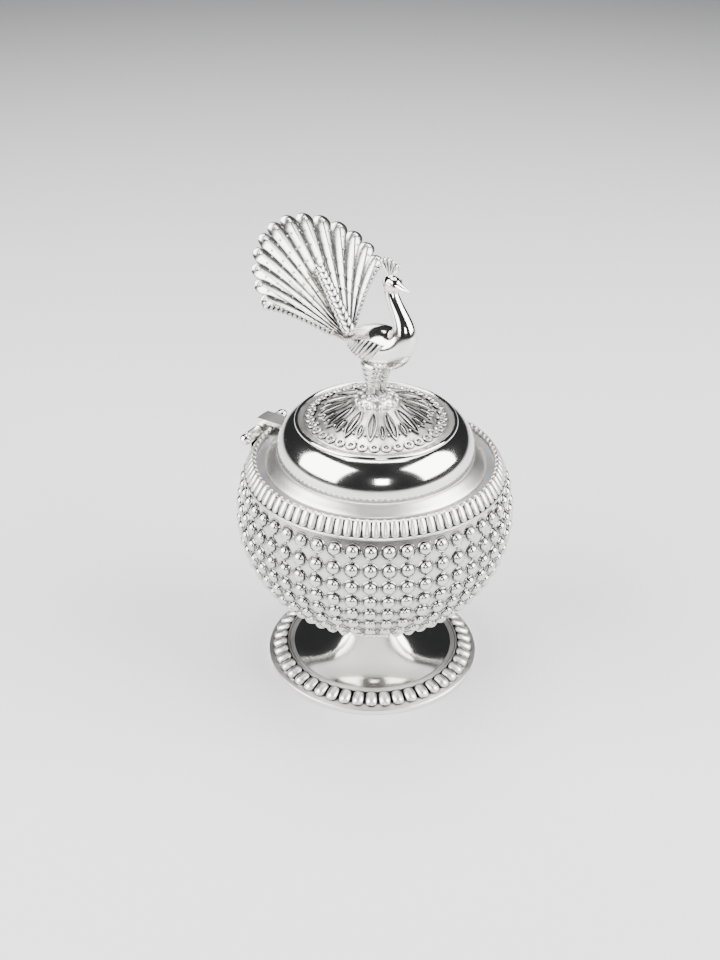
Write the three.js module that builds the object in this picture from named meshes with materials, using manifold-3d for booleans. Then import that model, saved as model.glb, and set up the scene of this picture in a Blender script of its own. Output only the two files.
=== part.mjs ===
// Footed sindoor box with a hinged lid and a peacock finial.
// Millimetres, +Z up. The origin is on the box's axis, under the foot. The hinge is at +Y.
import * as THREE from 'three';
import { mergeVertices } from 'three/addons/utils/BufferGeometryUtils.js';
import Module from 'manifold-3d';

const wasm = await Module();
wasm.setup();

// Driving dimensions: turned pieces
const turnedSegments = 48;
const smallSegments = 16;

// Foot
const footRadius = 20.4;
const footEdgeHeight = 1.1;
const footRimHeight = 2.9;
const footRimBore = 15.4;
const footSheet = 0.8;
const stemRadius = 4.4;
const stemHeight = 9.0;
const collarHeight = 0.64;
const collarBulge = 0.5;

// Bowl
const bowlRadius = 25.3;
const bowlWall = 1.0;
const bowlEquator = 32.9;
const bowlSeatRadius = 4.8;
const bowlMouthHeight = 41.4;
const bandTopHeight = 44.2;
const bandTopRadius = 22.4;
const bandInnerRadius = 22.0;
const bandOverhang = 0.3;

// Seat ring in the mouth
const seatThickness = 0.8;
const seatTop = 43.1;
const seatBore = 19.4;
const seatSkirtDepth = 2.8;
const seatSkirtWall = 1.0;

// Lid
const lidClearance = 0.4;
const lidRadius = 20.3;
const lidEdge = 0.56;
const domeFootRadius = 18.2;
const domeFootRise = 2.1;
const domeWall = 0.95;
const domeRise = 6.4;
const domeTopRadius = 14.8;
const bezelWall = 0.8;
const bezelDepth = 2.5;

// Medallion on the lid
const medallionWidth = 27.9;
const medallionRise = 4.0;
const medallionSheet = 0.7;
const mountRadius = 3.9;
const collarRingRise = 0.55;

// Screws and nuts
const footScrewRadius = 1.7;
const footScrewHead = 3.0;
const finialScrewRadius = 1.1;
const nutHeight = 1.3;
const nutWall = 1.3;
const threadShow = 0.7;
const screwPlay = 0.02;

// Hinge
const hingeOffset = 25.1;
const hingeHeight = 42.6;
const knuckleRadius = 1.1;
const pinRadius = 0.45;
const runningGap = 0.25;
const middleKnuckle = 3.4;
const sideKnuckle = 2.9;
const pinBall = 1.1;
const leafThickness = 0.8;

// Peacock
const birdTurn = 13;
const moundHeight = 1.4;
const legRadius = 0.85;
const thighRadius = 1.2;
const legSpread = 1.35;
const bodyHeight = 9.4;
const bodyHalf = new THREE.Vector3(4.2, 6.6, 4.6);
const neckRadius = 1.7;
const headRadius = 2.2;
const headLift = 12.3;
const headReach = 3.0;
const beakLength = 3.6;
const crestHeight = 4.6;
const wingHalf = new THREE.Vector3(1.5, 5.2, 3.4);
const tailLength = 26.5;
const tailWidth = 26.0;
const tailThickness = 1.3;
const tailLean = 38;
const tailFeathers = 13;
const gap = 0.3;

const radians = THREE.MathUtils.degToRad;

function material(color, roughness) {
  return new THREE.MeshStandardMaterial({ color, roughness, metalness: 1 });
}

const polished = material(0xd9d8d6, 0.15);
const satin = material(0xc9c9c8, 0.38);
const darkened = material(0x8d8c8a, 0.45);

function mesh(name, geometry, finish) {
  const piece = new THREE.Mesh(geometry, finish);
  piece.name = name;
  return piece;
}

function closed(geometry) {
  const bare = geometry.clone();
  bare.deleteAttribute('normal');
  bare.deleteAttribute('uv');
  return mergeVertices(bare, 1e-5);
}

function solid(geometry) {
  const merged = closed(geometry);
  return new wasm.Manifold(new wasm.Mesh({
    numProp: 3,
    vertProperties: Float32Array.from(merged.attributes.position.array),
    triVerts: Uint32Array.from(merged.index.array),
  }));
}

function geometryOf(manifold) {
  const result = manifold.getMesh();
  const geometry = new THREE.BufferGeometry();
  geometry.setAttribute('position', new THREE.BufferAttribute(result.vertProperties, 3));
  geometry.setIndex(new THREE.BufferAttribute(result.triVerts, 1));
  geometry.computeVertexNormals();
  return geometry;
}

// A turned piece: its [radius, height] outline runs anticlockwise, and a ring's outline closes on itself.
function turned(outline, segments = turnedSegments) {
  const points = outline.map(([radius, height]) => new THREE.Vector2(radius, height));
  const onAxis = points[0].x === 0;
  if (!onAxis) {
    points.push(points[0].clone());
  }
  const lathe = new THREE.LatheGeometry(points, segments);
  lathe.rotateX(Math.PI / 2);
  return closed(lathe);
}

function rod(radius, from, to, segments = smallSegments, endRadius = radius) {
  const path = new THREE.Vector3().subVectors(to, from);
  const cylinder = new THREE.CylinderGeometry(endRadius, radius, path.length(), segments);
  const turn = new THREE.Quaternion().setFromUnitVectors(new THREE.Vector3(0, 1, 0), path.normalize());
  cylinder.applyQuaternion(turn);
  cylinder.translate((from.x + to.x) / 2, (from.y + to.y) / 2, (from.z + to.z) / 2);
  return closed(cylinder);
}

function ball(half, centre, tilt = 0) {
  const sphere = new THREE.SphereGeometry(1, 20, 14);
  sphere.scale(half.x, half.y, half.z);
  sphere.rotateX(radians(tilt));
  sphere.translate(centre.x, centre.y, centre.z);
  return closed(sphere);
}

function block(size, centre) {
  const box = new THREE.BoxGeometry(size.x, size.y, size.z);
  box.translate(centre.x, centre.y, centre.z);
  return closed(box);
}

// Foot
const flareTop = stemHeight;
const stemFoot = flareTop - footSheet;

// The concave trumpet falls steeply from the stem and runs out flat at the rim.
function flareCurve(radiusAt, shift, steps = 8) {
  const points = [];
  for (let step = 0; step <= steps; step += 1) {
    const share = step / steps;
    const radius = THREE.MathUtils.lerp(radiusAt, footRimBore, share);
    const height = 2.4 + (flareTop - 2.4) * (1 - share) ** 1.9;
    points.push([radius, height - shift]);
  }
  return points;
}

function footRim() {
  return turned([
    [footRimBore, 0],
    [footRadius, 0],
    [footRadius, footEdgeHeight],
    [footRadius - 1.1, footEdgeHeight + 0.2],
    [footRadius - 2.1, footRimHeight],
    [footRadius - 3.6, footRimHeight],
    [footRimBore, 2.4],
  ]);
}

function footFlare() {
  const outer = flareCurve(stemRadius, 0).reverse();
  const inner = flareCurve(stemRadius - footSheet / 2, footSheet);
  return turned([
    ...inner,
    ...outer,
    [footScrewRadius, flareTop],
    [footScrewRadius, stemFoot],
  ]);
}

const bowlBottom = stemHeight + collarHeight;

function stemCollar() {
  const middle = (stemHeight + bowlBottom) / 2;
  return turned([
    [footScrewRadius, stemHeight],
    [stemRadius, stemHeight],
    [stemRadius + collarBulge, middle],
    [stemRadius, bowlBottom],
    [footScrewRadius, bowlBottom],
  ]);
}

// Bowl: a ball whose lower half is a little flattened, open at the mouth
const mouthAngle = Math.asin((bowlMouthHeight - bowlEquator) / bowlRadius);
const mouthSteps = 4;

function bowlPoint(radius, depth, angle) {
  const rise = angle < 0 ? depth : radius;
  return [radius * Math.cos(angle), bowlEquator + rise * Math.sin(angle)];
}

function bowlCurve(inset) {
  const radius = bowlRadius - inset;
  const depth = bowlEquator - bowlBottom - inset;
  const points = [];
  const lowest = -Math.acos(Math.min(1, (bowlSeatRadius + 1) / radius));
  const steps = 9;
  for (let step = 0; step < steps; step += 1) {
    points.push(bowlPoint(radius, depth, lowest * (1 - step / steps)));
  }
  for (let step = 0; step <= mouthSteps; step += 1) {
    points.push(bowlPoint(radius, depth, mouthAngle * step / mouthSteps));
  }
  return points;
}

function bowlShell() {
  const outer = bowlCurve(0);
  const inner = bowlCurve(bowlWall);
  const top = outer[outer.length - 1];
  inner[inner.length - 1] = [top[0] - bowlWall, top[1]];
  return turned([
    [footScrewRadius, bowlBottom],
    [bowlSeatRadius, bowlBottom],
    ...outer,
    ...inner.reverse(),
    [bowlSeatRadius, bowlBottom + bowlWall],
    [footScrewRadius, bowlBottom + bowlWall],
  ]);
}

const mouthRadius = bowlRadius * Math.cos(mouthAngle);
const bandFootRadius = mouthRadius + bandOverhang;

function reededBand() {
  return turned([
    [bandInnerRadius, bowlMouthHeight],
    [bandFootRadius, bowlMouthHeight],
    [bandTopRadius, bandTopHeight],
    [bandInnerRadius, bandTopHeight],
  ]);
}

function rimSeat() {
  const under = seatTop - seatThickness;
  const skirtFoot = under - seatSkirtDepth;
  return turned([
    [bandInnerRadius - seatSkirtWall, skirtFoot],
    [bandInnerRadius, skirtFoot],
    [bandInnerRadius, seatTop],
    [seatBore, seatTop],
    [seatBore, under],
    [bandInnerRadius - seatSkirtWall, under],
  ]);
}

// Screws and nuts
function screw(radius, head, from, seat) {
  const outline = [[0, from], [radius, from], [radius, seat]];
  if (head > radius) {
    outline.push([head, seat], [head * 0.75, seat + 0.8], [0, seat + 1.1]);
  } else {
    outline.push([0, seat]);
  }
  return turned(outline, smallSegments);
}

function nut(bore, top) {
  const outline = new THREE.Shape();
  const corner = bore + nutWall;
  for (let side = 0; side < 6; side += 1) {
    const angle = radians(60 * side);
    outline[side === 0 ? 'moveTo' : 'lineTo'](corner * Math.cos(angle), corner * Math.sin(angle));
  }
  outline.closePath();
  outline.holes.push(new THREE.Path().absarc(0, 0, bore, 0, 2 * Math.PI, true));
  const geometry = new THREE.ExtrudeGeometry(outline, { depth: nutHeight, bevelEnabled: false, curveSegments: 16 });
  geometry.translate(0, 0, top - nutHeight);
  return closed(geometry);
}

// Hinge
const pinAxis = (x) => new THREE.Vector3(x, hingeOffset, hingeHeight);

function tube(outerRadius, bore, from, to) {
  const outer = solid(rod(outerRadius, pinAxis(from), pinAxis(to)));
  const hole = solid(rod(bore, pinAxis(from - 1), pinAxis(to + 1)));
  return outer.subtract(hole);
}

function slab(halfWidth, centre = 0) {
  return solid(block(new THREE.Vector3(2 * halfWidth, 60, 60), new THREE.Vector3(centre, 30, hingeHeight)));
}

const sideStart = middleKnuckle / 2 + runningGap;
const sideEnd = sideStart + sideKnuckle;

// The leaf follows the ball of the bowl and carries the two side knuckles.
function hingeLeafBowl() {
  const steps = [1, 2, 3, 4];
  const against = steps.map((step) => bowlPoint(bowlRadius, 0, mouthAngle * step / mouthSteps));
  const away = steps.map((step) => bowlPoint(bowlRadius + leafThickness, 0, mouthAngle * step / mouthSteps));
  away[3][1] = bowlMouthHeight;
  const plate = solid(turned([...away, ...against.reverse()])).intersect(slab(sideEnd));
  const reach = hingeOffset - away[3][0] + knuckleRadius * 0.6;
  let leaf = plate;
  for (const side of [-1, 1]) {
    const start = side < 0 ? -sideEnd : sideStart;
    const middle = side * (sideStart + sideEnd) / 2;
    const arm = solid(block(
      new THREE.Vector3(sideKnuckle, reach, hingeHeight - away[2][1]),
      new THREE.Vector3(middle, away[3][0] + reach / 2 + 0.1, (hingeHeight + away[2][1]) / 2),
    ));
    const hole = solid(rod(pinRadius, pinAxis(start - 1), pinAxis(start + sideKnuckle + 1)));
    const knuckle = solid(rod(knuckleRadius, pinAxis(start), pinAxis(start + sideKnuckle)));
    leaf = leaf.add(knuckle.add(arm).subtract(hole));
  }
  return geometryOf(leaf);
}

const lidEdgeTop = seatTop + lidEdge;
const domeFoot = seatTop + domeFootRise;

// The lid's arm lies on the sloping flange, passes over the band and turns down to its knuckle.
function hingeLeafLid() {
  const slope = (domeFoot - lidEdgeTop) / (lidRadius - domeFootRadius);
  const startRadius = domeFootRadius + 0.4;
  const startHeight = lidEdgeTop + slope * (lidRadius - startRadius);
  const under = bandTopHeight + runningGap;
  const over = under + leafThickness;
  const arm = solid(turned([
    [startRadius, startHeight],
    [lidRadius, lidEdgeTop],
    [lidRadius + 0.3, under],
    [hingeOffset - 0.9, under],
    [hingeOffset - 0.9, hingeHeight + 0.9],
    [hingeOffset + 0.9, hingeHeight + 0.9],
    [hingeOffset + 0.9, over - 0.4],
    [hingeOffset + 0.4, over],
    [startRadius, over],
  ])).intersect(slab(middleKnuckle / 2));
  const half = middleKnuckle / 2;
  const knuckle = tube(knuckleRadius, pinRadius + runningGap, -half, half);
  const hole = solid(rod(pinRadius + runningGap, pinAxis(-half - 1), pinAxis(half + 1)));
  return geometryOf(arm.subtract(hole).add(knuckle));
}

function hingePin() {
  const reach = sideEnd + pinBall * 0.8;
  let pin = solid(rod(pinRadius, pinAxis(-reach), pinAxis(reach)));
  for (const side of [-1, 1]) {
    const centre = pinAxis(side * (sideEnd + pinBall));
    pin = pin.add(solid(ball(new THREE.Vector3(pinBall, pinBall, pinBall), centre)));
  }
  return geometryOf(pin);
}

// Lid
function lidFlange() {
  return turned([
    [domeFootRadius - domeWall, seatTop],
    [lidRadius, seatTop],
    [lidRadius, lidEdgeTop],
    [domeFootRadius, domeFoot],
    [domeFootRadius - domeWall, domeFoot],
  ]);
}

function lidBezel() {
  const outside = seatBore - lidClearance;
  return turned([
    [outside - bezelWall, seatTop - bezelDepth],
    [outside, seatTop - bezelDepth],
    [outside, seatTop],
    [outside - bezelWall, seatTop],
  ]);
}

const domeTop = domeFoot + domeRise;

// The dome stands steep at its foot and turns over to the medallion's seat.
function domeCurve(inset) {
  const points = [];
  const steps = 6;
  for (let step = 0; step <= steps; step += 1) {
    const share = step / steps;
    const angle = share * Math.PI / 2 * 0.8;
    const turnIn = (1 - Math.cos(angle)) / (1 - Math.cos(Math.PI / 2 * 0.8));
    const rise = Math.sin(angle) / Math.sin(Math.PI / 2 * 0.8);
    const radius = THREE.MathUtils.lerp(domeFootRadius, domeTopRadius, turnIn) - inset;
    points.push([radius, domeFoot + (domeRise - (inset > 0 ? domeWall : 0)) * rise]);
  }
  return points;
}

const medallionSeat = medallionWidth / 2;

function lidDome() {
  const opening = medallionSeat - 1.4;
  return turned([
    ...domeCurve(0),
    [opening, domeTop],
    [opening, domeTop - domeWall],
    ...domeCurve(domeWall).reverse(),
  ]);
}

const fieldRadius = medallionSeat - 1.05;
const medallionTop = domeTop + medallionRise;

function medallion() {
  const halfway = (fieldRadius + mountRadius) / 2;
  const halfRise = medallionRise * 0.56;
  return turned([
    [fieldRadius - 0.7, domeTop],
    [medallionSeat, domeTop],
    [medallionSeat, domeTop + 0.15],
    [fieldRadius + 0.1, domeTop + 0.15],
    [fieldRadius, domeTop + 0.4],
    [halfway, domeTop + halfRise],
    [mountRadius, medallionTop],
    [finialScrewRadius, medallionTop],
    [finialScrewRadius, medallionTop - medallionSheet],
    [mountRadius - 0.3, medallionTop - medallionSheet],
    [halfway - 0.2, domeTop + halfRise - medallionSheet],
  ]);
}

function medallionCollar() {
  return turned([
    [medallionSeat, domeTop],
    [domeTopRadius, domeTop],
    [domeTopRadius, domeTop + collarRingRise * 0.4],
    [(medallionSeat + domeTopRadius) / 2, domeTop + collarRingRise],
    [medallionSeat, domeTop + collarRingRise * 0.8],
  ]);
}

// Peacock: it faces -Y in its own frame, and heights count from the mound's top.
const moundTop = medallionTop + moundHeight;
const screwDepth = 0.8;

function peacockMound() {
  return turned([
    [0, medallionTop + screwDepth],
    [finialScrewRadius, medallionTop + screwDepth],
    [finialScrewRadius, medallionTop],
    [mountRadius, medallionTop],
    [mountRadius, medallionTop + 0.6],
    [mountRadius - 0.6, medallionTop + 0.9],
    [mountRadius - 1.3, moundTop],
    [0, moundTop],
  ], 32);
}

const bodyCentre = new THREE.Vector3(0, 0.2, moundTop + bodyHeight);
const headCentre = new THREE.Vector3(0, -headReach, bodyCentre.z + headLift);
const tailRoot = new THREE.Vector3(0, bodyCentre.y + bodyHalf.y - 1.2, bodyCentre.z - 2.4);
const bodyTilt = -14;

function bodySolid(grow) {
  const half = bodyHalf.clone().addScalar(grow);
  return solid(ball(half, bodyCentre, bodyTilt));
}

function peacockLeg(side) {
  const foot = new THREE.Vector3(side * legSpread, 0, moundTop);
  const top = new THREE.Vector3(side * legSpread, 0, bodyCentre.z);
  return geometryOf(solid(rod(legRadius, foot, top, 10, thighRadius)).subtract(bodySolid(gap)));
}

// The neck swells from the head down into the breast.
function neckSolid(grow) {
  const start = new THREE.Vector3(0, bodyCentre.y - bodyHalf.y * 0.55, bodyCentre.z + 1.5);
  const path = new THREE.QuadraticBezierCurve3(
    start,
    new THREE.Vector3(0, start.y - 3.4, start.z + 4.5),
    headCentre,
  );
  const round = new THREE.Shape().absarc(0, 0, neckRadius + grow, 0, 2 * Math.PI);
  const geometry = new THREE.ExtrudeGeometry(round, { steps: 8, extrudePath: path, curveSegments: 12 });
  const headHalf = new THREE.Vector3(headRadius * 0.8 + grow, headRadius + grow, headRadius * 0.85 + grow);
  const breastHalf = new THREE.Vector3(neckRadius + 1.1 + grow, neckRadius + 1.1 + grow, neckRadius + 1.8 + grow);
  const breast = new THREE.Vector3(0, start.y - 0.9, start.z + 0.9);
  return solid(geometry)
    .add(solid(ball(headHalf, headCentre)))
    .add(solid(ball(breastHalf, breast)));
}

function peacockNeck() {
  const tip = new THREE.ConeGeometry(headRadius * 0.45, beakLength, 10);
  tip.rotateX(Math.PI / 2 + radians(6));
  tip.translate(0, headCentre.y - headRadius * 0.8 - beakLength * 0.32, headCentre.z + 0.1);
  return geometryOf(neckSolid(0).add(solid(tip)).subtract(bodySolid(gap)));
}

function peacockCrest() {
  const outline = new THREE.Shape();
  const spread = radians(34);
  outline.moveTo(0, 0);
  outline.lineTo(crestHeight * Math.sin(-spread), crestHeight * Math.cos(spread));
  outline.absarc(0, 0, crestHeight, Math.PI / 2 + spread, Math.PI / 2 - spread, true);
  outline.lineTo(0, 0);
  const plate = new THREE.ExtrudeGeometry(outline, { depth: 0.9, bevelEnabled: false, curveSegments: 8 });
  plate.translate(0, 0, -0.45);
  plate.rotateX(Math.PI / 2);
  plate.rotateZ(Math.PI / 2);
  plate.translate(0, headCentre.y + 0.3, headCentre.z + 0.2);
  return geometryOf(solid(plate).subtract(neckSolid(gap)));
}

function peacockWing(side) {
  const centre = new THREE.Vector3(side * (bodyHalf.x - 0.3), bodyCentre.y + 0.6, bodyCentre.z + 0.5);
  return geometryOf(solid(ball(wingHalf, centre, bodyTilt))
    .subtract(bodySolid(gap))
    .subtract(neckSolid(gap)));
}

// The tail is a leaning fan with one scalloped tip for each feather.
function tailGeometry(thickness) {
  const outline = new THREE.Shape();
  const halfWidth = tailWidth / 2;
  const rootHalf = 2.6;
  const tip = (share) => new THREE.Vector2(
    halfWidth * Math.sin(share * Math.PI / 2 * 0.98),
    tailLength * (0.5 + 0.5 * Math.cos(share * Math.PI / 2)),
  );
  outline.moveTo(-rootHalf, 0);
  for (let feather = 0; feather < tailFeathers; feather += 1) {
    const from = tip(2 * feather / tailFeathers - 1);
    const to = tip(2 * (feather + 1) / tailFeathers - 1);
    const middle = tip((2 * feather + 1) / tailFeathers - 1);
    const out = middle.clone().sub(new THREE.Vector2(0, tailLength * 0.35)).normalize().multiplyScalar(1.1);
    outline.lineTo(from.x, from.y);
    outline.lineTo(middle.x + out.x * 0.9, middle.y + out.y * 0.9);
    if (feather === tailFeathers - 1) {
      outline.lineTo(to.x, to.y);
    }
  }
  outline.lineTo(rootHalf, 0);
  outline.closePath();
  const fan = new THREE.ExtrudeGeometry(outline, { depth: thickness, bevelEnabled: false });
  fan.translate(0, 0, -thickness / 2);
  fan.rotateX(Math.PI / 2);
  fan.rotateX(-radians(tailLean));
  fan.translate(tailRoot.x, tailRoot.y, tailRoot.z);
  return closed(fan);
}

function peacockTail() {
  return geometryOf(solid(tailGeometry(tailThickness)).subtract(bodySolid(gap)));
}

// The raised covert feathers run up the middle of the fan's front.
function peacockCovert() {
  const half = new THREE.Vector3(2.3, 2.0, 7.5);
  const along = 8.2;
  const lean = radians(tailLean);
  const centre = new THREE.Vector3(
    0,
    tailRoot.y + along * Math.sin(lean) - 1.2 * Math.cos(lean),
    tailRoot.z + along * Math.cos(lean) + 1.2 * Math.sin(lean),
  );
  return geometryOf(solid(ball(half, centre, -tailLean))
    .subtract(bodySolid(gap))
    .subtract(solid(tailGeometry(tailThickness + 2 * gap)).add(solid(tailGeometry(9)).intersect(behindTail()))));
}

// Everything behind the middle of the fan's thickness, as a tool to cut with
function behindTail() {
  const size = new THREE.Vector3(60, 30, 60);
  const cutter = block(size, new THREE.Vector3(0, size.y / 2, 0));
  cutter.rotateX(-radians(tailLean));
  cutter.translate(tailRoot.x, tailRoot.y, tailRoot.z);
  return solid(cutter);
}

const footScrewEnd = stemFoot - nutHeight - threadShow;
const base = new THREE.Group();
base.add(
  mesh('foot_rim', footRim(), satin),
  mesh('foot_flare', footFlare(), polished),
  mesh('stem_collar', stemCollar(), polished),
  mesh('bowl_shell', bowlShell(), satin),
  mesh('reeded_band', reededBand(), polished),
  mesh('rim_seat', rimSeat(), darkened),
  mesh('foot_screw', screw(footScrewRadius - screwPlay, footScrewHead, footScrewEnd, bowlBottom + bowlWall), satin),
  mesh('foot_nut', nut(footScrewRadius, stemFoot), satin),
  mesh('hinge_leaf_bowl', hingeLeafBowl(), satin),
  mesh('hinge_pin', hingePin(), polished),
);

const bird = new THREE.Group();
bird.rotation.z = -radians(birdTurn);
bird.add(
  mesh('peacock_mound', peacockMound(), darkened),
  mesh('peacock_leg_left', peacockLeg(1), satin),
  mesh('peacock_leg_right', peacockLeg(-1), satin),
  mesh('peacock_body', geometryOf(bodySolid(0)), satin),
  mesh('peacock_neck', peacockNeck(), polished),
  mesh('peacock_crest', peacockCrest(), satin),
  mesh('peacock_wing_left', peacockWing(1), satin),
  mesh('peacock_wing_right', peacockWing(-1), satin),
  mesh('peacock_tail', peacockTail(), satin),
  mesh('peacock_covert', peacockCovert(), satin),
);

const finialNutTop = medallionTop - medallionSheet;
const finialScrewEnd = finialNutTop - nutHeight - threadShow;
const lid = new THREE.Group();
lid.add(
  mesh('lid_flange', lidFlange(), satin),
  mesh('lid_bezel', lidBezel(), satin),
  mesh('lid_dome', lidDome(), polished),
  mesh('medallion', medallion(), satin),
  mesh('medallion_collar', medallionCollar(), polished),
  mesh('hinge_leaf_lid', hingeLeafLid(), satin),
  mesh('finial_screw', screw(finialScrewRadius - screwPlay, 0, finialScrewEnd, medallionTop + screwDepth), satin),
  mesh('finial_nut', nut(finialScrewRadius, finialNutTop), satin),
  bird,
);

const sindoorBox = new THREE.Group();
sindoorBox.add(base, lid);

export default sindoorBox;
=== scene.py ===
"""Looks of a footed silver sindoor box with a peacock finial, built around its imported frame."""
import math

import bpy
from mathutils import Matrix, Vector


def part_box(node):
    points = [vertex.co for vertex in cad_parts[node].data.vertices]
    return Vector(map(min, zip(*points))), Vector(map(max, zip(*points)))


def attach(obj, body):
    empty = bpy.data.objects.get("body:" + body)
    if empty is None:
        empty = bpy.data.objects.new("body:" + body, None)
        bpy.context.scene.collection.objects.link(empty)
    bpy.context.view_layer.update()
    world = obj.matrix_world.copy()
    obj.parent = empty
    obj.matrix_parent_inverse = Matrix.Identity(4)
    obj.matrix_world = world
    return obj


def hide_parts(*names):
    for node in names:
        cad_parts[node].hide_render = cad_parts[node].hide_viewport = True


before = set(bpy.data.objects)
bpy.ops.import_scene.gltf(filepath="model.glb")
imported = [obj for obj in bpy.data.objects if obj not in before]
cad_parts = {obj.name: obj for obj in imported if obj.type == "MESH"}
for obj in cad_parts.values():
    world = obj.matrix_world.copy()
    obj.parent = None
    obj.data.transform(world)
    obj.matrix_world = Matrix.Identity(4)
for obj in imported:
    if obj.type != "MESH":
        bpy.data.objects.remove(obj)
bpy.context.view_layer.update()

bl_info = {
    "name": "Sindoor box",
    "version": (1, 0, 0),
    "blender": (4, 5, 0),
    "location": "View3D > Sidebar > Sindoor box",
    "description": "Beaded silver box with a domed lid and a peacock finial",
    "category": "Object",
}

MM = 0.001


def top_of(node):
    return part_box(node)[1][2] / MM


def foot_of(node):
    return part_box(node)[0][2] / MM


def reach_of(node):
    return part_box(node)[1][0] / MM


# Sizes in mm, taken from the frame where it has them
BOWL_RADIUS = reach_of("bowl_shell")
BOWL_FOOT = foot_of("bowl_shell")
BOWL_MOUTH = top_of("bowl_shell")
BOWL_EQUATOR = 32.9
BAND_TOP = top_of("reeded_band")
BAND_RADIUS = reach_of("reeded_band")
BAND_TOP_RADIUS = 22.4
BAND_BORE = 22.0
RIM_RADIUS = reach_of("foot_rim")
RIM_TOP = top_of("foot_rim")
RIM_BORE = 15.4
FIELD_FOOT = foot_of("medallion")
FIELD_TOP = top_of("medallion")
FIELD_SEAT = reach_of("medallion")
MOUNT_RADIUS = 3.9
MOUND_TOP = top_of("peacock_mound")
BIRD_TURN = math.radians(-13)
TAIL_LEAN = math.radians(38)


class BoxSizes(bpy.types.PropertyGroup):
    """Sizes of the ornament."""
    bead_columns: bpy.props.IntProperty(
        name="Bead columns", description="Beads round the bowl", default=48, min=12)
    bead_radius: bpy.props.FloatProperty(
        name="Bead radius", description="Radius of a bead at the bowl's widest row, in mm", default=1.2)
    flutes: bpy.props.IntProperty(
        name="Flutes", description="Reeds round the mouth's band", default=90, min=12)
    gadroons: bpy.props.IntProperty(
        name="Gadroons", description="Lobes round the foot", default=46, min=12)
    petals: bpy.props.IntProperty(
        name="Petals", description="Leaves round the lid's medallion", default=14, min=6)
    feathers: bpy.props.IntProperty(
        name="Feathers", description="Feathers in the tail's fan", default=13, min=5)


class BoxColours(bpy.types.PropertyGroup):
    """Colours of the silver and of the stage."""
    bright: bpy.props.StringProperty(
        name="Bright silver", description="sRGB colour of the polished metal", default="EDEBE6")
    satin: bpy.props.StringProperty(
        name="Satin silver", description="sRGB colour of the matt metal", default="D9D8D4")
    # Colour of the painted shade that an ambient occlusion mask mixes into the hollows of the satin, frosted
    # and matt finishes
    painted_shade: bpy.props.StringProperty(
        name="Darkened silver", description="sRGB colour of the oxidised hollows", default="34343A")
    floor: bpy.props.StringProperty(
        name="Floor", description="sRGB colour of the floor", default="D8D8DA")


def linear(hex_colour):
    """Turns an sRGB hex value into a linear colour."""
    channels = [int(hex_colour[i:i + 2], 16) / 255 for i in (0, 2, 4)]
    low = 0.04045
    return [c / 12.92 if c <= low else ((c + 0.055) / 1.055) ** 2.4 for c in channels] + [1.0]


def add_node(tree, kind, settings=None, inputs=None, links=None):
    """Adds a node with its settings, its input values and the links into it."""
    node = tree.nodes.new(kind)
    for key, value in (settings or {}).items():
        setattr(node, key, value)
    for key, value in (inputs or {}).items():
        node.inputs[key].default_value = value
    for key, source in (links or {}).items():
        tree.links.new(source, node.inputs[key])
    return node


def silver(name, bright, painted_shade, roughness, grain_mm, relief, recess_mm):
    """Silver: a clean face, painted shade darkening its hollows through an ambient occlusion mask, and a fine
    grain that breaks its gloss.
    """
    material = bpy.data.materials.new(name)
    material.use_nodes = True
    tree = material.node_tree
    tree.nodes.clear()
    place = add_node(tree, "ShaderNodeTexCoord")
    grain = add_node(tree, "ShaderNodeTexNoise", inputs={"Scale": 1 / (grain_mm * MM), "Detail": 3.0},
                     links={"Vector": place.outputs["Object"]})
    cloud = add_node(tree, "ShaderNodeTexNoise", inputs={"Scale": 1 / (6 * MM), "Detail": 2.0},
                     links={"Vector": place.outputs["Object"]})
    # Painted shade: ambient occlusion darkens the colour in the hollows, within recess_mm of their walls
    painted_shade_mask = add_node(tree, "ShaderNodeAmbientOcclusion", settings={"samples": 8, "only_local": True},
                      inputs={"Distance": recess_mm * MM})
    open_face = add_node(tree, "ShaderNodeMapRange",
                         inputs={"From Min": 0.5, "From Max": 0.97, "To Min": 0.0, "To Max": 1.0},
                         links={"Value": painted_shade_mask.outputs["AO"]})
    colour = add_node(tree, "ShaderNodeMix", settings={"data_type": "RGBA"},
                      links={"Factor": open_face.outputs["Result"]})
    colour.inputs[6].default_value = linear(painted_shade)
    colour.inputs[7].default_value = linear(bright)
    rough = add_node(tree, "ShaderNodeMapRange",
                     inputs={"To Min": roughness * 0.75, "To Max": roughness * 1.3},
                     links={"Value": cloud.outputs["Fac"]})
    bump = add_node(tree, "ShaderNodeBump", inputs={"Strength": relief, "Distance": 0.02 * MM},
                    links={"Height": grain.outputs["Fac"]})
    shader = add_node(tree, "ShaderNodeBsdfPrincipled", inputs={"Metallic": 1.0},
                      links={"Base Color": colour.outputs[2], "Roughness": rough.outputs["Result"],
                             "Normal": bump.outputs["Normal"]})
    add_node(tree, "ShaderNodeOutputMaterial", links={"Surface": shader.outputs["BSDF"]})
    return material


MATERIALS = {}


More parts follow.
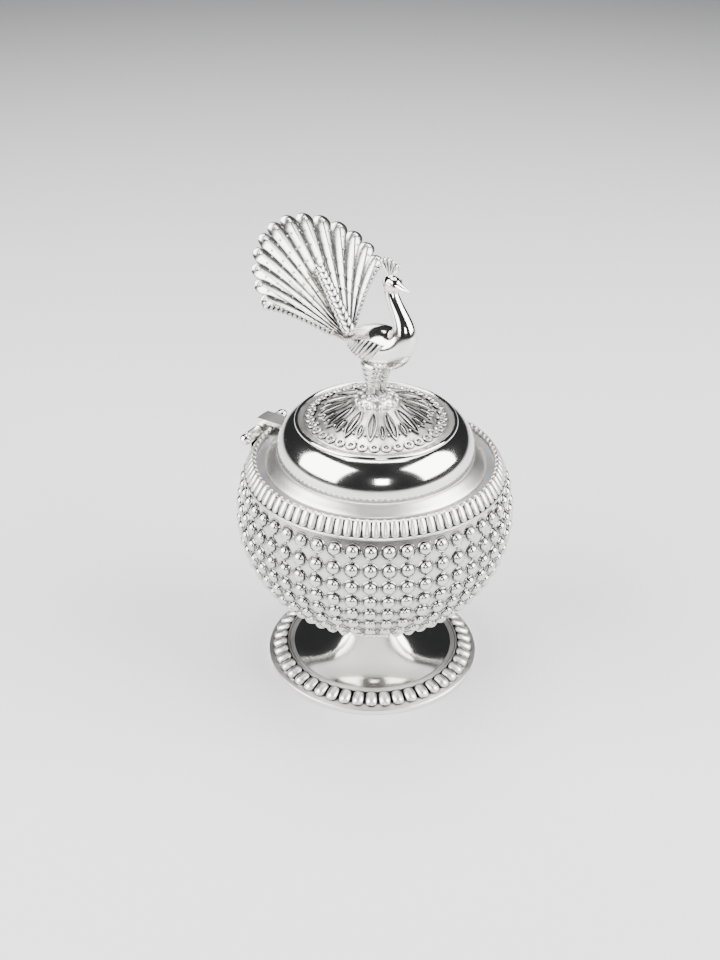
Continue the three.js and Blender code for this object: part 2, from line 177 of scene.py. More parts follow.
def finish_of(kind):
    """The three finishes of the box, made once each."""
    colours = bpy.context.scene.box_colours
    if kind not in MATERIALS:
        if kind == "polished":
            # Silver plate buffed to a mirror: sharp reflections with a faint haze
            MATERIALS[kind] = silver(
                "polished_silver_plate", colours.bright, colours.bright, 0.10, 0.4, 0.03, 0.3)
        elif kind == "satin":
            # Chased silver with a satin bright face, and painted shade darkening its hollows
            MATERIALS[kind] = silver("chased_satin_silver", colours.satin, colours.painted_shade, 0.2, 0.25, 0.2, 1.2)
        elif kind == "frosted":
            # Silver plate with a soft acid frost, bright and blurred, with painted shade only in its deepest
            # lines
            MATERIALS[kind] = silver(
                "frosted_silver_plate", colours.bright, colours.painted_shade, 0.32, 0.25, 0.2, 0.7)
        else:
            # Unpolished silver plate inside and under the box: a soft grey gloss, with painted shade
            # darkening its hollows
            MATERIALS[kind] = silver("matt_grey_silver_painted_shade", "A9A9AB", colours.painted_shade, 0.42, 0.2, 0.4, 1.5)
    return MATERIALS[kind]


def deselect():
    if bpy.context.object and bpy.context.object.mode != "OBJECT":
        bpy.ops.object.mode_set(mode="OBJECT")
    bpy.ops.object.select_all(action="DESELECT")


def pick(objects):
    """Selects these objects alone and makes the first active."""
    deselect()
    for item in objects:
        item.select_set(True)
    bpy.context.view_layer.objects.active = objects[0]


def settle(piece, place=None):
    """Moves a piece by a matrix and puts its place in its mesh."""
    if place is not None:
        piece.matrix_world = place @ piece.matrix_world
    pick([piece])
    bpy.ops.object.transform_apply(location=True, rotation=True, scale=True)
    return piece


def join(pieces, name):
    pick(pieces)
    if len(pieces) > 1:
        bpy.ops.object.join()
    piece = bpy.context.object
    piece.name = name
    return piece


def turned(outline, segments=144):
    """Spins an outline of [radius, height] in mm round the axis into a closed piece."""
    mesh = bpy.data.meshes.new("outline")
    points = [(r * MM, 0, z * MM) for r, z in outline]
    edges = [(i, (i + 1) % len(points)) for i in range(len(points))]
    mesh.from_pydata(points, edges, [])
    piece = bpy.data.objects.new("turned", mesh)
    bpy.context.collection.objects.link(piece)
    pick([piece])
    bpy.ops.object.mode_set(mode="EDIT")
    bpy.ops.mesh.select_all(action="SELECT")
    bpy.ops.mesh.spin(steps=segments, angle=2 * math.pi, center=(0, 0, 0), axis=(0, 0, 1))
    bpy.ops.mesh.select_all(action="SELECT")
    bpy.ops.mesh.remove_doubles(threshold=0.00001)
    bpy.ops.mesh.normals_make_consistent(inside=False)
    bpy.ops.object.mode_set(mode="OBJECT")
    return piece


def egg(half, centre, segments=16, rings=10):
    """A ball shaped to half sizes in mm and put at its centre."""
    deselect()
    bpy.ops.mesh.primitive_uv_sphere_add(segments=segments, ring_count=rings, radius=1)
    piece = bpy.context.object
    piece.scale = [h * MM for h in half]
    piece.location = Vector(centre) * MM
    return settle(piece)


def ring(major, minor, segments=14, sides=6):
    deselect()
    bpy.ops.mesh.primitive_torus_add(
        major_radius=major * MM, minor_radius=minor * MM, major_segments=segments, minor_segments=sides)
    return settle(bpy.context.object)


def rod(start, end, radius, end_radius=None, sides=12):
    """A tapered rod between two points in mm."""
    first = Vector(start) * MM
    last = Vector(end) * MM
    deselect()
    bpy.ops.mesh.primitive_cone_add(
        vertices=sides, radius1=radius * MM,
        radius2=(radius if end_radius is None else end_radius) * MM, depth=(last - first).length)
    piece = bpy.context.object
    turn = (last - first).to_track_quat("Z", "Y").to_matrix().to_4x4()
    return settle(piece, Matrix.Translation((first + last) / 2) @ turn)


def around(piece, count):
    """Copies a piece evenly round the axis."""
    deselect()
    bpy.ops.object.empty_add(location=(0, 0, 0))
    pivot = bpy.context.object
    pivot.rotation_euler.z = 2 * math.pi / count
    pick([piece])
    bpy.ops.object.modifier_add(type="ARRAY")
    array = piece.modifiers[-1]
    array.count = count
    array.use_relative_offset = False
    array.use_object_offset = True
    array.offset_object = pivot
    bpy.context.view_layer.update()
    bpy.ops.object.modifier_apply(modifier=array.name)
    bpy.data.objects.remove(pivot)
    return piece


def square_off(piece, power):
    """Fills a ball's outline out towards its box, for a lobe with a blunt end."""
    half = max(abs(vertex.co.x) for vertex in piece.data.vertices)
    for vertex in piece.data.vertices:
        share = min(1.0, abs(vertex.co.x) / half)
        vertex.co.x = math.copysign(half * share ** power, vertex.co.x)
    return piece


def stand_on(radius, height, slope):
    """A place at a radius and height in mm: its Z is a normal at this slope above level, its Y goes round."""
    normal = Vector((math.cos(slope), 0, math.sin(slope)))
    side = Vector((0, 1, 0))
    along = side.cross(normal)
    turn = Matrix((along, side, normal)).transposed().to_4x4()
    return Matrix.Translation(Vector((radius, 0, height)) * MM) @ turn


def smooth(piece, angle=40):
    pick([piece])
    bpy.ops.object.shade_smooth_by_angle(angle=math.radians(angle))


def declare(piece, name, body, kind, nodes):
    """Names a finished piece, gives it its finish, hangs it on its body and hides the nodes it stands for."""
    piece.name = name
    piece.data.materials.clear()
    piece.data.materials.append(finish_of(kind))
    smooth(piece)
    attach(piece, body)
    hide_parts(*nodes)


class BOX_OT_bowl(bpy.types.Operator):
    """The round bowl with its rows of beads."""
    bl_idname = "box.bowl"
    bl_label = "Bowl"

    def execute(self, context):
        sizes = context.scene.box_sizes
        wall = 1.0
        depth = BOWL_EQUATOR - BOWL_FOOT
        top = math.asin((BOWL_MOUTH - BOWL_EQUATOR) / BOWL_RADIUS)
        seat = 4.8
        screw_hole = 1.7
        face = BOWL_RADIUS - 0.45
        foot_angle = -math.acos((seat + 1) / face)
        steps = 26
        outer = [(seat, BOWL_FOOT)]
        inner = []
        for step in range(steps + 1):
            angle = foot_angle + (top - foot_angle) * step / steps
            rise = 1.0 if angle > 0 else depth / BOWL_RADIUS
            outer.append((face * math.cos(angle), BOWL_EQUATOR + rise * face * math.sin(angle)))
            inside = BOWL_RADIUS - wall
            inner.append((inside * math.cos(angle), BOWL_EQUATOR + rise * inside * math.sin(angle)))
        inner.reverse()
        shell = turned([(screw_hole, BOWL_FOOT)] + outer + inner
                       + [(seat, BOWL_FOOT + wall), (screw_hole, BOWL_FOOT + wall)], 96)
        parts = [shell]
        bead_root = 0.3
        rows = 8
        row_step = math.radians(8.15)
        first_row = math.asin((39.1 - BOWL_EQUATOR) / BOWL_RADIUS)
        for row in range(rows):
            angle = first_row - row * row_step
            flat = 1.0 if angle > 0 else depth / BOWL_RADIUS
            radius = face * math.cos(angle)
            height = BOWL_EQUATOR + flat * face * math.sin(angle)
            slope = math.atan2(math.sin(angle) / flat, math.cos(angle))
            size = sizes.bead_radius * math.cos(angle) ** 0.6
            bead = egg((size, size, size * 0.72), (0, 0, 0.12), 12, 7)
            for vertex in bead.data.vertices:
                vertex.co.z = max(vertex.co.z, -bead_root * MM)
            collar = ring(size * 1.12, 0.16, 14, 5)
            cell = join([bead, collar], "bead")
            settle(cell, stand_on(radius, height, slope))
            parts.append(around(cell, sizes.bead_columns))
            link = egg((0.26, 0.26, 0.2), (0, 0, 0), 6, 4)
            settle(link, stand_on(radius, height, slope))
            settle(link, Matrix.Rotation(math.pi / sizes.bead_columns, 4, "Z"))
            parts.append(around(link, sizes.bead_columns))
            below = angle - row_step / 2
            flat_below = 1.0 if below > 0 else depth / BOWL_RADIUS
            link = egg((0.26, 0.26, 0.2), (0, 0, 0), 6, 4)
            settle(link, stand_on(face * math.cos(below), BOWL_EQUATOR + flat_below * face * math.sin(below),
                                  math.atan2(math.sin(below) / flat_below, math.cos(below))))
            parts.append(around(link, sizes.bead_columns))
        declare(join(parts, "beaded_bowl"), "beaded_bowl", "base", "satin", ["bowl_shell"])
        return {"FINISHED"}


class BOX_OT_band(bpy.types.Operator):
    """The reeded band round the mouth."""
    bl_idname = "box.band"
    bl_label = "Reeded band"

    def execute(self, context):
        count = context.scene.box_sizes.flutes
        inset = 0.5
        body = turned([(BAND_BORE, BOWL_MOUTH), (BAND_RADIUS - inset, BOWL_MOUTH),
                       (BAND_TOP_RADIUS - inset + 0.15, BAND_TOP - 0.1), (BAND_BORE, BAND_TOP - 0.1)])
        run = Vector((BAND_TOP_RADIUS - BAND_RADIUS, BAND_TOP - BOWL_MOUTH))
        slope = math.atan2(-run.x, run.y)
        pitch = 2 * math.pi * BAND_RADIUS / count
        reed = egg((run.length / 2 + 0.05, pitch * 0.49, 0.55), (0, 0, 0), 12, 10)
        square_off(reed, 0.5)
        middle = (BAND_RADIUS + BAND_TOP_RADIUS) / 2 - 0.42
        settle(reed, stand_on(middle, (BOWL_MOUTH + BAND_TOP) / 2, slope))
        line = ring(BAND_TOP_RADIUS - 0.1, 0.2, 144, 8)
        settle(line, Matrix.Translation((0, 0, (BAND_TOP - 0.2) * MM)))
        lower = ring(BAND_RADIUS - 0.25, 0.22, 144, 8)
        settle(lower, Matrix.Translation((0, 0, BOWL_MOUTH * MM)))
        band = join([body, around(reed, count), line, lower], "fluted_band")
        declare(band, "fluted_band", "base", "frosted", ["reeded_band"])
        return {"FINISHED"}


class BOX_OT_foot(bpy.types.Operator):
    """The foot's rim with its gadroons."""
    bl_idname = "box.foot"
    bl_label = "Foot rim"

    def execute(self, context):
        count = context.scene.box_sizes.gadroons
        edge = 1.1
        floor_of_band = 1.35
        body = turned([(RIM_BORE, 0), (RIM_RADIUS - 0.15, 0), (RIM_RADIUS, 0.15), (RIM_RADIUS, edge - 0.15),
                       (RIM_RADIUS - 0.2, edge), (RIM_RADIUS - 0.9, edge + 0.15),
                       (RIM_RADIUS - 1.1, floor_of_band), (RIM_RADIUS - 3.6, floor_of_band + 0.2),
                       (RIM_RADIUS - 3.7, 2.3), (RIM_RADIUS - 4.0, 2.5), (RIM_BORE + 0.5, 2.55),
                       (RIM_BORE, 2.4)])
        inner = RIM_RADIUS - 3.6
        outer = RIM_RADIUS - 1.0
        middle = (inner + outer) / 2
        pitch = 2 * math.pi * middle / count
        lobe = egg(((outer - inner) / 2 + 0.2, pitch * 0.47, 0.85), (0, 0, 0), 14, 10)
        square_off(lobe, 0.55)
        settle(lobe, stand_on(middle, RIM_TOP - 1.0, math.radians(72)))
        line = ring(RIM_RADIUS - 3.85, 0.18, 144, 8)
        settle(line, Matrix.Translation((0, 0, 2.5 * MM)))
        foot = join([body, around(lobe, count), line], "gadrooned_foot")
        declare(foot, "gadrooned_foot", "base", "frosted", ["foot_rim"])
        return {"FINISHED"}


class BOX_OT_medallion(bpy.types.Operator):
    """The lid's medallion: leaves on a low cone inside a ring of dished dots."""
    bl_idname = "box.medallion"
    bl_label = "Medallion"

    def execute(self, context):
        count = context.scene.box_sizes.petals
        edge = FIELD_SEAT - 1.05
        rise = FIELD_TOP - FIELD_FOOT
        body = turned([(edge - 0.7, FIELD_FOOT), (FIELD_SEAT, FIELD_FOOT), (FIELD_SEAT, FIELD_FOOT + 0.15),
                       (edge + 0.1, FIELD_FOOT + 0.15), (edge, FIELD_FOOT + 0.35),
                       (edge - 1.9, FIELD_FOOT + 0.85), (8.4, FIELD_FOOT + rise * 0.5),
                       (MOUNT_RADIUS, FIELD_TOP - 0.15), (1.1, FIELD_TOP - 0.05), (1.1, FIELD_TOP - 0.7),
                       (MOUNT_RADIUS - 0.3, FIELD_TOP - 0.75), (8.2, FIELD_FOOT + rise * 0.5 - 0.7)])
        slope = math.atan2(edge - MOUNT_RADIUS, rise)
        parts = [body]
        inner = MOUNT_RADIUS + 0.4
        outer = edge - 2.3

        def on_cone(radius):
            return FIELD_FOOT + 0.3 + rise * (edge - radius) / (edge - MOUNT_RADIUS)

        middle = (inner + outer) / 2
        leaves = ((0, inner + 0.2, outer + 0.1, 1.5), (0.5, inner + 3.0, outer - 0.4, 0.9))
        for turn, start, end, wide in leaves:
            half = (end - start) / 2
            at = (start + end) / 2
            border = ring(1, 0.1, 28, 6)
            border.scale = (half, wide / 2, 2.4)
            settle(border)
            for vertex in border.data.vertices:
                share = min(1.0, abs(vertex.co.x) / (half * MM))
                vertex.co.y *= (1 - share ** 2) ** 0.35 + 0.05
            vein = egg((half * 0.8, 0.14, 0.24), (0, 0, 0), 12, 8)
            leaf = join([border, vein], "leaf")
            settle(leaf, stand_on(at, on_cone(at), slope))
            settle(leaf, Matrix.Rotation(2 * math.pi * turn / count, 4, "Z"))
            parts.append(around(leaf, count))
        for radius, size in ((outer + 0.5, 0.3), (middle + 1.9, 0.22)):
            bud = egg((size, size, size), (0, 0, 0), 10, 6)
            settle(bud, stand_on(radius, on_cone(radius), slope))
            settle(bud, Matrix.Rotation(math.pi / count * (0.5 if size < 0.3 else 1), 4, "Z"))
            parts.append(around(bud, count * 2 if size < 0.3 else count))
        dots = 36
        dish = ring(0.66, 0.27, 14, 6)
        knob = egg((0.22, 0.22, 0.15), (0, 0, 0), 10, 6)
        dot = join([dish, knob], "dot")
        settle(dot, stand_on(edge - 0.95, on_cone(edge - 0.95) + 0.1, math.radians(72)))
        parts.append(around(dot, dots))
        declare(join(parts, "leaf_medallion"), "leaf_medallion", "lid", "frosted", ["medallion"])
        return {"FINISHED"}


BODY_Z = (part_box("peacock_body")[0][2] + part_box("peacock_body")[1][2]) / 2 / MM
HEAD_Z = BODY_Z + 12.2
TAIL_ROOT = Vector((0, 6.9, BODY_Z - 2.0))
BIRD_PLACE = Matrix.Rotation(BIRD_TURN, 4, "Z")


def swelling(points, name, round_x=1.0):
    """A smooth tube through [y, z, radius] points in mm on the bird's middle plane."""
    curve = bpy.data.curves.new(name, "CURVE")
    curve.dimensions = "3D"
    curve.bevel_depth = MM
    curve.bevel_resolution = 8
    curve.use_fill_caps = True
    line = curve.splines.new("NURBS")
    line.points.add(len(points) - 1)
    for point, (y, z, radius) in zip(line.points, points):
        point.co = (0, y * MM, z * MM, 1)
        point.radius = radius
    line.order_u = 4
    line.use_endpoint_u = True
    line.resolution_u = 10
    piece = bpy.data.objects.new(name, curve)
    bpy.context.collection.objects.link(piece)
    pick([piece])
    bpy.ops.object.convert(target="MESH")
    piece = bpy.context.object
    piece.scale.x = round_x
    return settle(piece)


class BOX_OT_bird(bpy.types.Operator):
    """The peacock's body, neck and head."""
    bl_idname = "box.bird"
    bl_label = "Peacock body"

    def execute(self, context):
        z = BODY_Z
        head_z = HEAD_Z
        rise = head_z - z
        body = swelling([(7.8, z - 1.6, 0.7), (6.2, z - 1.4, 1.7), (3.6, z - 0.6, 3.3), (0.6, z - 0.4, 4.1),
                         (-2.6, z + 0.1, 4.1), (-5.0, z + 1.4, 3.4), (-6.2, z + 3.2, 2.6),
                         (-6.3, z + rise * 0.42, 2.0), (-5.2, z + rise * 0.58, 1.6),
                         (-3.8, z + rise * 0.74, 1.35), (-2.7, z + rise * 0.9, 1.3), (-3.0, z + rise, 1.1)], "body", 0.92)
        parts = [body, egg((1.45, 2.0, 1.6), (0, -3.2, head_z), 24, 14)]
        parts.append(rod((0, -4.6, head_z + 0.1), (0, -7.2, head_z - 0.1), 0.85, 0.12))
        for side in (-1, 1):
            parts.append(egg((0.3, 0.45, 0.45), (side * 1.2, -3.7, head_z + 0.3), 12, 8))
            eyelid = ring(0.55, 0.13, 14, 6)
            settle(eyelid, Matrix.Translation(Vector((side * 1.25, -3.7, head_z + 0.3)) * MM)
                   @ Matrix.Rotation(math.pi / 2, 4, "Y"))
            parts.append(eyelid)
        piece = settle(join(parts, "peacock_figure"), BIRD_PLACE)
        declare(piece, "peacock_figure", "lid", "polished", ["peacock_body", "peacock_neck"])
        return {"FINISHED"}


def feather(length, width, thickness, rib=0.16):
    """A feather's blade along Z: narrow at its root, with a round tip and a middle rib."""
    blade = egg((width / 2, thickness, length / 2), (0, 0, length / 2), 14, 24)
    round_end = 0.9
    for vertex in blade.data.vertices:
        share = min(0.999, max(0.001, vertex.co.z / (length * MM)))
        ball = math.sqrt(1 - (2 * share - 1) ** 2)
        wedge = 0.12 + 0.88 * share
        if share > round_end:
            wedge *= math.sqrt(1 - ((share - round_end) / (1 - round_end)) ** 2)
        vertex.co.x *= wedge / ball
        vertex.co.y *= min(2.0, 1 / ball) * (0.6 + 0.4 * share)
    parts = [blade]
    if rib:
        start = (0, -thickness, length * 0.1)
        parts.append(rod(start, (0, -thickness * 0.9, length * 0.93), rib, rib * 0.8, 8))
    return join(parts, "feather")


class BOX_OT_tail(bpy.types.Operator):
    """The tail's leaning fan of feathers."""
    bl_idname = "box.tail"
    bl_label = "Peacock tail"

    def execute(self, context):
        count = context.scene.box_sizes.feathers
        length = 25.6
        root = TAIL_ROOT
        spread = math.radians(42)
        parts = []
        for index in range(count):
            share = 2 * index / (count - 1) - 1
            angle = spread * share
            reach = length * (1 - 0.25 * share ** 2)
            wide = 2 * reach * math.tan(spread / (count - 1)) + 0.5
            blade = feather(reach, wide, 0.5)
            for side in (-1, 1):
                for step in range(5):
                    share_up = 0.42 + 0.11 * step
                    dot = (side * wide * 0.25 * share_up, -0.5, reach * share_up)
                    blade = join([blade, egg((0.17, 0.17, 0.17), dot, 8, 5)], "feather")
            tip = egg((0.5, 0.35, 0.5), (0, -0.45, reach * 0.95), 10, 7)
            blade = settle(join([blade, tip], "feather"), Matrix.Rotation(angle, 4, "Y"))
            parts.append(blade)
        rope = 15
        for side in (-1, 1):
            for step in range(rope):
                along = length * 0.73 * (0.22 + 0.74 * step / (rope - 1))
                turn = side * (spread + spread / (count - 1))
                strand = egg((0.42, 0.75, 0.62), (0, 0, 0), 10, 7)
                settle(strand, Matrix.Rotation(math.radians(35), 4, "Y"))
                at = Vector((math.sin(turn) * along, 0, math.cos(turn) * along)) * MM
                parts.append(settle(strand, Matrix.Translation(at)))
        fan = join(parts, "fan")
        for vertex in fan.data.vertices:
            height = vertex.co.z / (length * MM)
            aside = vertex.co.x / (12 * MM)
            out = (vertex.co.x ** 2 + vertex.co.z ** 2) / (18 * MM) ** 2
            vertex.co.x += 1.3 * MM * aside * out
            vertex.co.z -= 1.2 * MM * aside ** 2 * out
            vertex.co.y += 1.4 * MM * max(0.0, height) ** 2 - 1.0 * MM * aside ** 2
        settle(fan, Matrix.Rotation(-TAIL_LEAN, 4, "X"))
        settle(fan, Matrix.Translation(root * MM))
        settle(fan, BIRD_PLACE)
        declare(fan, "tail_fan", "lid", "satin", ["peacock_tail"])
        return {"FINISHED"}


class BOX_OT_plumage(bpy.types.Operator):
    """The raised covert, the wings and the crest."""
    bl_idname = "box.plumage"
    bl_label = "Peacock plumage"

    def execute(self, context):
        root = TAIL_ROOT
        lean = Matrix.Rotation(-TAIL_LEAN, 4, "X")
        scales = []
        rows = 11
        for row in range(rows):
            up = 2.5 + 1.15 * row
            wide = 1.9 - 0.09 * row
            for side in (-1, 1):
                scale = egg((0.75, 0.5, 1.15), (0, 0, 0), 10, 8)
                settle(scale, Matrix.Rotation(side * math.radians(32), 4, "Y"))
                settle(scale, Matrix.Translation(Vector((side * wide * 0.42, -1.3, up)) * MM))
                scales.append(scale)
        covert = settle(join(scales, "covert_ridge"), lean)
        settle(covert, Matrix.Translation(root * MM))
        settle(covert, BIRD_PLACE)
        declare(covert, "covert_ridge", "lid", "satin", ["peacock_covert"])

        for side, node in ((1, "peacock_wing_left"), (-1, "peacock_wing_right")):
            blades = []
            ridges = 8
            for index in range(ridges):
                back = -2.6 + 1.05 * index
                thick = 4.1 - 3.1 * (max(0.0, back - 0.6) / 6.6) ** 1.2
                ridge = egg((0.6, 0.45, 0.62 * thick), (0, 0, 0), 12, 10)
                settle(ridge, Matrix.Rotation(math.radians(38), 4, "X"))
                at = Vector((side * (0.92 * thick - 0.35), back, BODY_Z + 0.5 - 0.22 * max(0.0, back)))
                blades.append(settle(ridge, Matrix.Translation(at * MM)))
            wing = settle(join(blades, node + "_feathers"), BIRD_PLACE)
            declare(wing, node + "_feathers", "lid", "satin", [node])

        head = Vector((0, -2.6, HEAD_Z + 1.1))
        plumes = []
        stalks = 5
        for index in range(stalks):
            angle = math.radians(-38 + 76 * index / (stalks - 1))
            tip = head + Vector((0, -math.sin(angle), math.cos(angle))) * 3.0
            plumes.append(rod(head, tip, 0.2, 0.28, 8))
            plumes.append(egg((0.4, 0.55, 0.6), tip, 12, 8))
        crest = settle(join(plumes, "crest_plumes"), BIRD_PLACE)
        declare(crest, "crest_plumes", "lid", "satin", ["peacock_crest"])
        return {"FINISHED"}


class BOX_OT_mound(bpy.types.Operator):
    """The rough little mound that the peacock stands on."""
    bl_idname = "box.mound"
    bl_label = "Mound"

    def execute(self, context):
        hole = 1.1
        body = turned([(hole, FIELD_TOP), (MOUNT_RADIUS - 0.2, FIELD_TOP),
                       (MOUNT_RADIUS - 0.6, FIELD_TOP + 0.8), (MOUNT_RADIUS - 1.4, MOUND_TOP),
                       (hole, MOUND_TOP)], 48)
        parts = [body]
        rows = ((3.5, FIELD_TOP + 0.35, 0.6, 16), (2.6, MOUND_TOP - 0.15, 0.5, 12))
        for radius, height, size, count in rows:
            stone = egg((size, size * 0.9, size * 0.8), (0, 0, 0), 10, 7)
            settle(stone, stand_on(radius, height, math.radians(50)))
            parts.append(around(stone, count))
        declare(join(parts, "rough_mound"), "rough_mound", "lid", "frosted", ["peacock_mound"])
        return {"FINISHED"}


class BOX_OT_legs(bpy.types.Operator):
    """The legs with their feathered thighs and claws."""
    bl_idname = "box.legs"
    bl_label = "Peacock legs"

    def execute(self, context):
        for side, node in ((1, "peacock_leg_left"), (-1, "peacock_leg_right")):
            x = side * 1.35
            parts = [rod((x, 0, MOUND_TOP - 0.1), (x, 0.2, BODY_Z - 3.4), 0.7, 1.1)]
            for step in range(4):
                half = (0.95 + 0.16 * step, 1.35 + 0.36 * step, 1.1)
                parts.append(egg(half, (x, 0.1, BODY_Z - 6.7 + 1.0 * step), 14, 9))
            for toe in (-28, 0, 28, 180):
                angle = math.radians(toe)
                reach = 1.5 if toe != 180 else 1.0
                tip = (x + reach * math.sin(angle), -reach * math.cos(angle), MOUND_TOP + 0.1)
                parts.append(rod((x, 0, MOUND_TOP + 0.3), tip, 0.34, 0.2, 8))
                parts.append(egg((0.24, 0.24, 0.2), tip, 8, 6))
            leg = settle(join(parts, node + "_feathered"), BIRD_PLACE)
            declare(leg, node + "_feathered", "lid", "satin", [node])
        return {"FINISHED"}


STEM_RADIUS = 4.4
SHEET = 0.8
FLARE_TOP = top_of("foot_flare")
DOME_RADIUS = reach_of("lid_dome")
DOME_FOOT = foot_of("lid_dome")
DOME_TOP = top_of("lid_dome")
DOME_TOP_RADIUS = 14.8
DOME_WALL = 0.95


class BOX_OT_turned_sheet(bpy.types.Operator):
    """The mirror-smooth turned pieces: trumpet foot, dome, its flange and its collar."""
    bl_idname = "box.turned_sheet"
    bl_label = "Turned pieces"

    def execute(self, context):
        steps = 20
        rim_height = 2.4
        outer = []
        inner = []
        for step in range(steps + 1):
            share = step / steps
            fall = (FLARE_TOP - rim_height) * (1 - share) ** 1.9
            outer.append((STEM_RADIUS + (RIM_BORE - STEM_RADIUS) * share, rim_height + fall))
            within = STEM_RADIUS - SHEET / 2
            inner.append((within + (RIM_BORE - within) * share, rim_height + fall - SHEET))
        outer.reverse()
        flare = turned(inner + outer + [(1.7, FLARE_TOP), (1.7, FLARE_TOP - SHEET)])
        declare(flare, "trumpet_foot", "base", "polished", ["foot_flare"])

        def dome_line(inset):
            line = []
            sweep = math.radians(72)
            for step in range(steps + 1):
                angle = sweep * step / steps
                turn_in = (1 - math.cos(angle)) / (1 - math.cos(sweep))
                rise = math.sin(angle) / math.sin(sweep)
                line.append((DOME_RADIUS + (DOME_TOP_RADIUS - DOME_RADIUS) * turn_in - inset,
                             DOME_FOOT + (DOME_TOP - DOME_FOOT - inset) * rise))
            return line

        opening = FIELD_SEAT - 1.4
        dome = turned(dome_line(0) + [(opening, DOME_TOP), (opening, DOME_TOP - DOME_WALL)]
                      + dome_line(DOME_WALL)[::-1])
        declare(dome, "polished_dome", "lid", "polished", ["lid_dome"])

        edge = reach_of("lid_flange")
        seat = foot_of("lid_flange")
        bore = DOME_RADIUS - DOME_WALL
        flange = turned([(bore, seat), (edge - 0.1, seat), (edge, seat + 0.1), (edge, seat + 0.45),
                         (edge - 0.12, seat + 0.6), (edge - 0.7, seat + 1.05), (edge - 1.4, seat + 1.6),
                         (DOME_RADIUS + 0.3, DOME_FOOT - 0.15), (DOME_RADIUS, DOME_FOOT), (bore, DOME_FOOT)])
        declare(flange, "lid_flange_ring", "lid", "frosted", ["lid_flange"])

        high = top_of("medallion_collar") - DOME_TOP
        middle = (FIELD_SEAT + DOME_TOP_RADIUS) / 2
        half = (DOME_TOP_RADIUS - FIELD_SEAT) / 2
        arc = [math.pi * step / 8 for step in range(9)]
        collar = turned([(middle + half * math.cos(a), DOME_TOP + high * math.sin(a)) for a in arc])
        declare(collar, "medallion_ring", "lid", "polished", ["medallion_collar"])
        return {"FINISHED"}


FINISHES = {
    "polished": ("stem_collar", "hinge_pin"),
    "frosted": ("hinge_leaf_bowl", "hinge_leaf_lid"),
    "dull": ("rim_seat", "lid_bezel", "foot_screw", "foot_nut", "finial_screw", "finial_nut"),
}


class BOX_OT_plain_pieces(bpy.types.Operator):
    """The finishes of the stem's collar, hinge, seat, bezel and screws, which keep their CAD shapes."""
    bl_idname = "box.plain_pieces"
    bl_label = "Plain pieces"

    def execute(self, context):
        for kind, names in FINISHES.items():
            for name in names:
                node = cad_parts[name]
                node.data.materials.clear()
                node.data.materials.append(finish_of(kind))
                smooth(node, 35)
        return {"FINISHED"}


# The photograph's view: the camera's place in mm, its turn and its lens
CAMERA_PLACE = (-185.8, -112.8, 168.75)
CAMERA_YAW = math.radians(-58)
CAMERA_PITCH = math.radians(90 - 30.86)
CAMERA_ROLL = math.radians(0.64)
CAMERA_LENS = 51.4


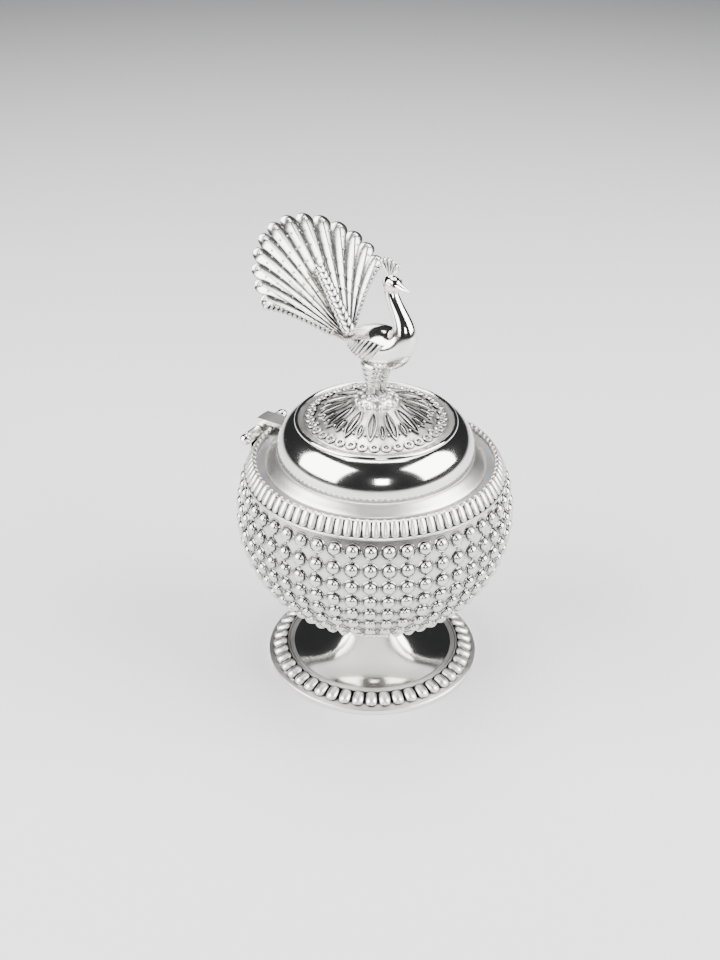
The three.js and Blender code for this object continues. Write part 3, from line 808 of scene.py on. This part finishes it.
class BOX_OT_stage(bpy.types.Operator):
    """The floor, the soft lights and the camera."""
    bl_idname = "box.stage"
    bl_label = "Stage"

    def execute(self, context):
        deselect()
        bpy.ops.mesh.primitive_plane_add(size=3)
        floor = context.object
        floor.name = "floor"
        paint = bpy.data.materials.new("pale_matt_paper")
        paint.use_nodes = True
        shader = paint.node_tree.nodes["Principled BSDF"]
        shader.inputs["Base Color"].default_value = linear(context.scene.box_colours.floor)
        shader.inputs["Roughness"].default_value = 0.8
        floor.data.materials.append(paint)

        sun_line = Matrix.Rotation(CAMERA_YAW, 3, "Z")
        lights = (("left_softbox", (-0.34, -0.14, 0.26), 0.42, 6.0),
                  ("right_softbox", (0.34, -0.08, 0.26), 0.38, 5.2),
                  ("top_softbox", (0.0, 0.14, 0.46), 0.30, 3.0),
                  ("front_strip", (0.05, -0.42, 0.20), 0.10, 0.6))
        for name, place, size, power in lights:
            bpy.ops.object.light_add(type="AREA", location=sun_line @ Vector(place))
            light = context.object
            light.name = name
            light.data.size = size
            light.data.energy = power
            aim = Vector((0, 0, 0.04)) - light.location
            light.rotation_euler = aim.to_track_quat("-Z", "Y").to_euler()

        world = bpy.data.worlds.new("studio_air")
        world.use_nodes = True
        world.node_tree.nodes["Background"].inputs["Color"].default_value = linear("8E9096")
        world.node_tree.nodes["Background"].inputs["Strength"].default_value = 0.12
        context.scene.world = world

        bpy.ops.object.camera_add(location=Vector(CAMERA_PLACE) * MM)
        camera = context.object
        camera.data.lens = CAMERA_LENS
        camera.data.sensor_width = 36
        turn = (Matrix.Rotation(CAMERA_YAW, 4, "Z") @ Matrix.Rotation(CAMERA_PITCH, 4, "X")
                @ Matrix.Rotation(CAMERA_ROLL, 4, "Z"))
        camera.rotation_euler = turn.to_euler()
        camera.data.clip_start = 0.005
        context.scene.camera = camera
        return {"FINISHED"}


OPERATORS = (BOX_OT_stage, BOX_OT_turned_sheet, BOX_OT_bowl, BOX_OT_band, BOX_OT_foot, BOX_OT_medallion,
             BOX_OT_mound, BOX_OT_bird, BOX_OT_tail, BOX_OT_plumage, BOX_OT_legs, BOX_OT_plain_pieces)


class BOX_PT_panel(bpy.types.Panel):
    """Lists the box's pieces in the sidebar."""
    bl_label = "Sindoor box"
    bl_idname = "BOX_PT_panel"
    bl_space_type = "VIEW_3D"
    bl_region_type = "UI"
    bl_category = "Sindoor box"

    def draw(self, context):
        for group in (context.scene.box_sizes, context.scene.box_colours):
            for key in group.__annotations__:
                self.layout.prop(group, key)
        for operator in OPERATORS:
            self.layout.operator(operator.bl_idname)


CLASSES = (BoxSizes, BoxColours) + OPERATORS + (BOX_PT_panel,)


def register():
    for item in CLASSES:
        bpy.utils.register_class(item)
    bpy.types.Scene.box_sizes = bpy.props.PointerProperty(type=BoxSizes)
    bpy.types.Scene.box_colours = bpy.props.PointerProperty(type=BoxColours)


def unregister():
    del bpy.types.Scene.box_colours
    del bpy.types.Scene.box_sizes
    for item in reversed(CLASSES):
        bpy.utils.unregister_class(item)


def main():
    register()
    for operator in OPERATORS:
        group, name = operator.bl_idname.split(".")
        getattr(getattr(bpy.ops, group), name)()


if __name__ == "__main__":
    main()
